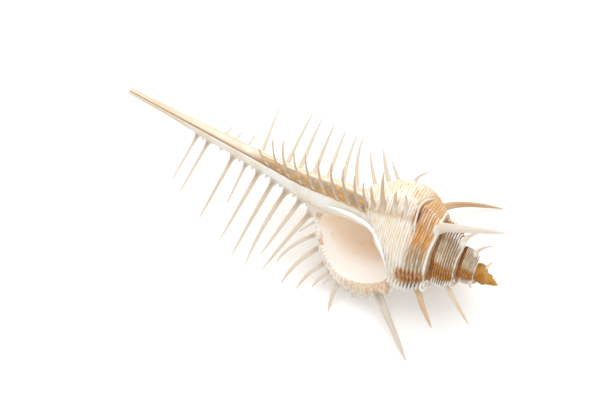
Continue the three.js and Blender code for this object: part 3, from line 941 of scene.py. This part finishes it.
BLACK = (0.0, 0.0, 0.0, 1.0)
WHITE = rgb("ebe9e4")
CREAM = rgb("e3dccb")
YELLOW_CREAM = rgb("e8d8ae")
GREY_BEIGE = rgb("a38a64")
ORANGE = rgb("dd9d45")
ORANGE_BROWN = rgb("ad6c20")
GOLDEN_BROWN = rgb("b8802e")
OCHRE = rgb("c08d35")
DEEP_BROWN = rgb("804814")
DARK_BROWN = rgb("7a4a22")
RECESS_BROWN = rgb("8f7650")
TAN = rgb("ead9c5")
PORCELAIN = rgb("f3f1ef")
BLUE_WHITE = rgb("e9edf2")
CLOUD_GREY = rgb("dacab2")
STREAK_AND_SHADE_GREY = rgb("8b7866")
SPINE_WHITE = rgb("e3ddd2")
SPINE_TAN = rgb("c7a373")
SPINE_GREY = rgb("a08f7a")
SPINE_YELLOW = rgb("e6cd92")

# A painted glow: the inside of the mouth gives off light of its own colour, in place of light that comes
# through the thin wall of the last whorl into the mouth.
INSIDE_GLOW = 0.14

finish = Finish("murex_aragonite")
place_on = finish.node("ShaderNodeTexCoord", output=3)
coil_turn, coil_across, cord_ridge = finish.parts("coil")
growth_marks = finish.parts("growth")
on_canal, on_spine, is_inside = finish.parts("region")
along_marks = finish.parts("along")

patches = finish.noise(place_on, 160, 3.0)
fine = finish.noise(place_on, 900, 3.0)
speckles = finish.noise(place_on, 640, 2.0)
dashes = finish.shell_noise(coil_turn * 26, coil_across * CORD_COUNT * 1.3)
bands = finish.shell_noise(coil_turn * 5, coil_across * 9, detail=2.0)
clouds = finish.shell_noise(coil_turn * 16, coil_across * 22, detail=2.0)
growth_bands = finish.shell_noise(coil_turn * 34, coil_across * 8, detail=2.0)

# Outside: white, yellower in bands and beyond the top row, and grey with golden bands on the older whorls.
on_crest, stain, pit_brown_and_shadow = growth_marks
foot, on_buttress, hood_white_and_highlight = along_marks
older = coil_turn.below(-0.75, -0.5)
outside = Coat(finish, CREAM)
outside.paint(WHITE, patches.above(0.35, 0.65))
outside.paint(YELLOW_CREAM, bands.above(0.45, 0.7) * 0.35)
beyond_top = coil_turn.above(0.03, 0.07) * coil_turn.below(0.2, 0.3)
outside.paint(YELLOW_CREAM, beyond_top * patches.above(0.45, 0.65) * 0.45)
outside.paint(SPINE_TAN, beyond_top * coil_across.below(0.36, 0.46) * 0.4)
outside.paint(GREY_BEIGE, older * patches.above(0.2, 0.5) * 0.85)
outside.paint(CLOUD_GREY, older * clouds.above(0.45, 0.62) * 0.6)
outside.paint(GOLDEN_BROWN, older * growth_bands.above(0.48, 0.68) * 0.4)

# Thin orange lines in the grooves, fewer where the last whorl is clear and on the lip.
groove = cord_ridge.below(0.08, 0.5)
clear = coil_across.above(0.22, 0.32) * patches.below(0.5, 0.62)
lined = groove * (1 - older * 0.75) * (1 - coil_turn.above(0.58, 0.62) * 0.6) * (1 - clear * 0.65)
# Tan in all the grooves between the cords: painted shade, for the relief of the cords.
outside.paint(SPINE_TAN, groove * 0.3)
outside.paint(ORANGE, lined * dashes.above(0.42, 0.56) * 0.6)
outside.paint(ORANGE_BROWN, lined * dashes.above(0.56, 0.68) * 0.75)
spots = dashes.above(0.4, 0.56)
on_lip = coil_turn.above(0.6, 0.64)
outside.paint(WHITE, on_lip * 0.7)
outside.paint(SPINE_TAN, on_lip * groove * coil_across.above(0.1, 0.2) * 0.25)
outside.paint(ORANGE_BROWN, on_lip * groove * patches.above(0.54, 0.62) * 0.5)
older_ridge = older * cord_ridge.above(0.45, 0.9)
outside.paint(WHITE, older_ridge * clouds.above(0.35, 0.6) * 0.5)

# The band past each older varix: golden, then brown, and darkest in its grooves.
golden = stain.above(0.0, 0.95) * (growth_bands.above(0.4, 0.54) * 0.4 + 0.55)
outside.paint(GOLDEN_BROWN, golden)
stained = stain.above(0.2, 0.7) * spots
outside.paint(ORANGE_BROWN, stained * (growth_bands.above(0.42, 0.56) * 0.5 + 0.45))
outside.paint(DEEP_BROWN, stain.above(0.6, 0.98) * spots * (groove * 0.4 + 0.3))

# The shoulder of the last whorl, tan with orange stripes across it.
near_shoulder = coil_across.above(0.09, 0.13) * coil_across.below(0.24, 0.34)
last_shoulder = near_shoulder * coil_turn.above(-0.16, -0.06) * coil_turn.below(0.15, 0.25)
striped = last_shoulder * (1 - coil_turn.above(0.02, 0.08) * 0.6)
stripes = finish.shell_noise(coil_turn * 34 + coil_across * 52, coil_across * 14)
outside.paint(SPINE_TAN, last_shoulder * 0.75)
outside.paint(GOLDEN_BROWN, last_shoulder * clouds.above(0.45, 0.6) * 0.3)
outside.paint(ORANGE_BROWN, striped * groove * 0.5)
outside.paint(ORANGE, striped * stripes.above(0.44, 0.54) * 0.8)
outside.paint(ORANGE_BROWN, striped * stripes.above(0.52, 0.62) * 0.9)

# The hollow band along the suture, the grey zone with white beads that follows it (the beads' white partly
# their own colour and partly a painted highlight on the cords' ridges), and its white edge.
smooth_band = coil_across.above(0.01, 0.03) * coil_across.below(0.07, 0.09)
outside.paint(GREY_BEIGE, smooth_band * (1 - on_crest) * 0.75)
near_edge = coil_across.above(0.1, 0.13) * coil_across.below(0.22, 0.36)
grey_zone = near_edge * (coil_turn.below(-0.12, -0.06) * (1 - stain))
outside.paint(GREY_BEIGE, grey_zone * 0.85)
outside.paint(RECESS_BROWN, grey_zone * 0.45)
outside.paint(ORANGE_BROWN, grey_zone * dashes.above(0.46, 0.6) * 0.5)
# White on the cords' ridges: partly the beads' own white and partly a painted highlight.
beads_white_and_highlit = grey_zone * cord_ridge.above(0.3, 0.75)
outside.paint(WHITE, beads_white_and_highlit * (growth_bands.above(0.4, 0.6) * 0.35 + 0.3))
edge_line = coil_across.above(0.08, 0.088) * coil_across.below(0.096, 0.11)
outside.paint(WHITE, edge_line * (clouds.above(0.4, 0.6) * 0.4 + 0.35))

# Ribs, white crests, the foot of the top row, the pit beside the hood painted dark (partly brown, partly
# painted shadow cast by the hood), and the hood's white top (partly its own white, partly a painted
# highlight).
outside.paint(SPINE_TAN, on_buttress.above(0.3, 0.8) * 0.6)
teeth = on_crest.above(0.15, 0.7) * (1 - striped * 0.5)
outside.paint(PORCELAIN, teeth * cord_ridge.above(0.25, 0.7) * 0.7)
outside.paint(ORANGE_BROWN, older * teeth * groove * 0.5)
outside.paint(SPINE_TAN, foot * coil_across.above(0.28, 0.36) * 0.6)
# Painted dark in the pit beside the hood: partly brown and partly painted shadow cast by the hood.
outside.paint(DARK_BROWN, pit_brown_and_shadow.above(0.25, 0.8) * 0.85)
# The hood's white top: partly its own white and partly a painted highlight.
outside.paint(WHITE, hood_white_and_highlight.above(0.3, 0.8) * 0.8)

# The edge of the lip, browner along its lower side: partly its own brown and partly painted shade under the
# white rim.
lip_edge = coil_turn.above(0.668, 0.679)
lower_lip_brown_and_shade = lip_edge * coil_across.below(0.3, 0.5)
outside.paint(SPINE_TAN, lip_edge * 0.15 + lower_lip_brown_and_shade * 0.4)
outside.paint(ORANGE_BROWN, lip_edge * patches.above(0.52, 0.6) * 0.3)
outside.paint(ORANGE_BROWN, lower_lip_brown_and_shade * clouds.above(0.45, 0.6) * 0.35)

# The dark line of the suture, the brown where the next whorl nearly covers this one, and the ochre apex.
suture = coil_across.below(0.01, 0.022)
uneven_across = coil_across + clouds * 0.04 + coil_turn.above(-1.9, -1.2) * 0.03
covered = uneven_across.above(0.476, 0.498) * coil_turn.below(-0.42, -0.36)
outside.paint(ORANGE_BROWN, covered * 0.9)
outside.paint(DEEP_BROWN, covered * patches.above(0.45, 0.6) * 0.7)
outside.paint(DEEP_BROWN, suture * 0.9)
apex = coil_turn.below(-2.9, -2.2)
outside.paint(OCHRE, apex * 0.85)
outside.paint(CLOUD_GREY, apex * clouds.above(0.62, 0.7) * 0.5)
outside.paint(ORANGE_BROWN, apex * patches.above(0.45, 0.6) * 0.5)

# Canal: cream, with grey-brown recesses and orange specks on its upper flank near the body, and a soft tan
# line beside the slit.
along_canal = along_marks[0]
near_body = along_canal.below(0.6, 0.68)
upper_flank = coil_turn.above(0.004, 0.02) * coil_turn.below(0.16, 0.24)
canal = Coat(finish, CREAM)
canal.paint(WHITE, patches.above(0.4, 0.6))
canal.paint(SPINE_TAN, along_canal.above(0.55, 0.95) * 0.36 + 0.02)
upper_side = coil_turn.below(0.25, 0.45)
canal.paint(SPINE_TAN, upper_side * 0.08)
canal.paint(YELLOW_CREAM, upper_side * 0.15)
recess = upper_flank * coil_turn.below(0.11, 0.17) * near_body * cord_ridge.below(0.15, 0.6)
canal.paint(RECESS_BROWN, recess * 0.85)
speckled = upper_flank * speckles.above(0.48, 0.62)
canal.paint(GOLDEN_BROWN, speckled * (near_body * 0.3 + 0.1))
canal.paint(ORANGE, recess * speckles.above(0.53, 0.6) * 0.8)
canal.paint(STREAK_AND_SHADE_GREY, recess * clouds.above(0.45, 0.6) * 0.5)
canal.paint(SPINE_WHITE, near_body * cord_ridge.above(0.35, 0.8) * 0.85)
beside_slit = coil_turn.below(0.012, 0.045) + coil_turn.above(0.98, 0.99)
canal.paint(SPINE_TAN, coil_turn.below(0.02, 0.08) * 0.4)
canal.paint(GOLDEN_BROWN, beside_slit * (patches.above(0.4, 0.6) * 0.3 + 0.12))
top_line = coil_turn.above(0.19, 0.225) * coil_turn.below(0.27, 0.33)
canal.paint(ORANGE, top_line * 0.5)
canal.paint(OCHRE, along_canal.below(0.07, 0.1))

# Spines: pale, each row with its own share of tan, grey and yellow, with painted shade in the groove at the
# root.
paler, grey, yellow = growth_marks
along_spine, tan, front = along_marks
root = along_spine.below(0.02, 0.3)
spines = Coat(finish, SPINE_WHITE)
spines.paint(SPINE_TAN, tan + root * 0.2)
spines.paint(SPINE_YELLOW, yellow * along_spine.below(0.1, 0.9))
# Grey by each row's share, which on the top row is partly painted shade.
spines.paint(SPINE_GREY, grey * (along_spine * 0.4 + 0.6))
streaks = finish.shell_noise(coil_turn * 9, along_spine * 1.5, coil_across)
spines.paint(ORANGE_BROWN, streaks.above(0.5, 0.64) * (grey * 0.3 + tan * 0.5))
# Painted shade: grey in the groove along the front of each spine near its root.
spines.paint(STREAK_AND_SHADE_GREY, front * root * 0.7)
spines.paint(WHITE, paler.above(0.25, 0.9) * 0.5)

# Inside: tan in the upper part, glossy white towards the outer lip. Both are partly the porcelain's own
# tones and partly painted light and shade: painted shade deep in the upper part, painted light on the lower
# wall by the outer lip.
whitening, on_glaze, outer_side = along_marks
lower = whitening * outer_side
inside = Coat(finish, TAN)
inside.paint(PORCELAIN, lower)
inside.paint(ORANGE, patches.above(0.6, 0.72) * (1 - lower) * 0.3)
inside.paint(BLUE_WHITE, on_glaze)

skin = Coat(finish, outside.colour)
skin.paint(canal.colour, on_canal)
skin.paint(spines.colour, on_spine)
skin.paint(inside.colour, is_inside)
roughness = 0.52 - is_inside * 0.24 + fine * 0.12 * (1 - is_inside)
growth_lines = finish.shell_noise(coil_turn * 420, coil_across * 4)
height = (fine * 0.6 + growth_lines * 0.6) * (1 - is_inside)
bump = finish.node("ShaderNodeBump", None, {"Strength": 0.35, "Distance": 0.00025, "Height": height})
finish.cover(shell, {
    "Base Color": skin.colour,
    "Roughness": roughness,
    "Normal": bump,
    "IOR": 1.53,
    # Painted glow: the inside of the mouth gives off light of its own colour.
    "Emission Color": finish.mixed(BLACK, inside.colour, is_inside),
    "Emission Strength": INSIDE_GLOW,
    "Subsurface Weight": 0.12,
    "Subsurface Radius": (1.0, 0.7, 0.45),
    "Subsurface Scale": 0.0012,
})

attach(shell, "root")
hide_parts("shell")


# Floor: the plain pale surface that the shell lies on.

FLOOR_SIZE = 6.0
# White paper lit from behind as well, so that little shadow shows on it.
PAPER_GLOW = 0.1

bpy.ops.mesh.primitive_plane_add(size=FLOOR_SIZE, location=(0, 0, 0))
floor = bpy.context.object
floor.name = "floor"
Finish("pale_paper").cover(floor, {
    "Base Color": rgb("f4f3f1"),
    "Roughness": 0.9,
    "Emission Color": (1.0, 1.0, 1.0, 1.0),
    "Emission Strength": PAPER_GLOW,
})


# Camera: above the shell and a little in front of its mouth, as in the photograph.

PHOTO_WIDTH = 612
PHOTO_HEIGHT = 408
CAMERA_AZIMUTH = math.radians(31.63)
CAMERA_ELEVATION = math.radians(66.35)
CAMERA_DISTANCE = 1.2
TARGET = Vector((0, 0, 0.016))
TARGET_PIXEL = (316.0, 182.5)
PIXELS_PER_METRE = 3531


def aimed(data, location, target):
    """A camera or lamp at a place, pointing at a target."""
    thing = bpy.data.objects.new(data.name, data)
    bpy.context.collection.objects.link(thing)
    thing.location = location
    thing.rotation_mode = "QUATERNION"
    thing.rotation_quaternion = (target - location).to_track_quat("-Z", "Y")
    return thing


back = Vector((
    math.sin(CAMERA_AZIMUTH) * math.cos(CAMERA_ELEVATION),
    -math.cos(CAMERA_AZIMUTH) * math.cos(CAMERA_ELEVATION),
    math.sin(CAMERA_ELEVATION),
))
right = Vector((math.cos(CAMERA_AZIMUTH), math.sin(CAMERA_AZIMUTH), 0))
up = back.cross(right)
camera_data = bpy.data.cameras.new("camera")
middle = (TARGET + right * ((PHOTO_WIDTH / 2 - TARGET_PIXEL[0]) / PIXELS_PER_METRE)
          + up * ((TARGET_PIXEL[1] - PHOTO_HEIGHT / 2) / PIXELS_PER_METRE))
camera = aimed(camera_data, TARGET + back * CAMERA_DISTANCE, middle)
camera_data.sensor_width = 36
camera_data.lens = PIXELS_PER_METRE * CAMERA_DISTANCE * camera_data.sensor_width / PHOTO_WIDTH
camera_data.clip_start = 0.05
camera_data.clip_end = 20
bpy.context.scene.camera = camera


# Light: a large soft lamp beyond the top of the picture, and an even white room.

LAMP_SIZE = 1.2
LAMP_POWER = 8.6
LAMP_UP = 0.9
LAMP_BACK = 0.7
ROOM_BRIGHTNESS = 1.0

lamp_data = bpy.data.lights.new("window", "AREA")
lamp_data.shape = "SQUARE"
lamp_data.size = LAMP_SIZE
lamp_data.energy = LAMP_POWER
aimed(lamp_data, TARGET + up * LAMP_UP + back * LAMP_BACK, TARGET)

world = bpy.data.worlds.new("room")
bpy.context.scene.world = world
world.use_nodes = True
room = world.node_tree.nodes["Background"]
room.inputs["Color"].default_value = (1, 1, 1, 1)
room.inputs["Strength"].default_value = ROOM_BRIGHTNESS
bpy.context.scene.view_settings.view_transform = "Standard"
